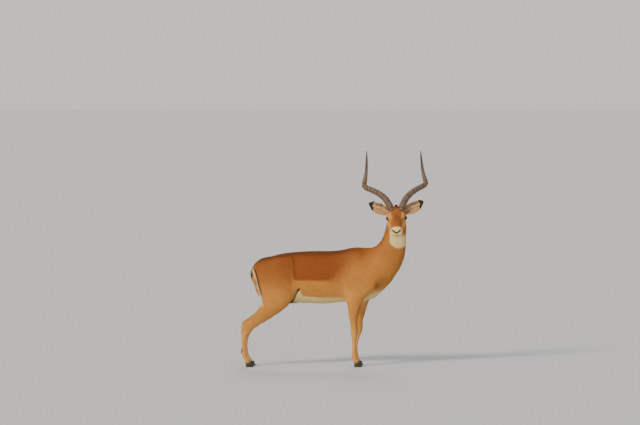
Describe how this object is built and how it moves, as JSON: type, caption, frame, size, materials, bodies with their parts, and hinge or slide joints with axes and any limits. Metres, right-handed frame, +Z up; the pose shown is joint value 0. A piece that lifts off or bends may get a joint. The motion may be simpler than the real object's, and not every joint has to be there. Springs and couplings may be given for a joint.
{
  "type": "impala figure",
  "caption": "Life-size still model of an adult male impala standing side-on, its head turned to one side, with ringed lyre-shaped horns, raised ears and a tail held against the rump.",
  "frame": {"origin": "on the floor, under the middle of the whole animal", "axes": "+X forward along the trunk, +Y to the animal's left, +Z up; the head faces along -Y"},
  "size_m": [1.3176, 0.3862, 1.5167],
  "materials": {
    "coat": "short close-lying fur, rufous saddle over fawn sides and a white belly",
    "ear": "thin furred ears, pale inside with dark tips",
    "eye": "wet, almost black",
    "horn": "ringed keratin, smooth towards the tips",
    "hoof": "dark worn keratin"
  },
  "bodies": {
    "root": {"trunk": "coat", "neck": "coat", "head": "coat", "tail": "coat", "ear_left": "ear", "ear_right": "ear", "eye_left": "eye", "eye_right": "eye", "horn_left": "horn", "horn_right": "horn", "foreleg_left_upper": "coat", "foreleg_left_cannon": "coat", "foreleg_left_pastern": "coat", "foreleg_left_hoof_inner": "hoof", "foreleg_left_hoof_outer": "hoof", "foreleg_right_upper": "coat", "foreleg_right_cannon": "coat", "foreleg_right_pastern": "coat", "foreleg_right_hoof_inner": "hoof", "foreleg_right_hoof_outer": "hoof", "hindleg_left_upper": "coat", "hindleg_left_cannon": "coat", "hindleg_left_pastern": "coat", "hindleg_left_hoof_inner": "hoof", "hindleg_left_hoof_outer": "hoof", "hindleg_right_upper": "coat", "hindleg_right_cannon": "coat", "hindleg_right_pastern": "coat", "hindleg_right_hoof_inner": "hoof", "hindleg_right_hoof_outer": "hoof"}
  },
  "joints": []
}
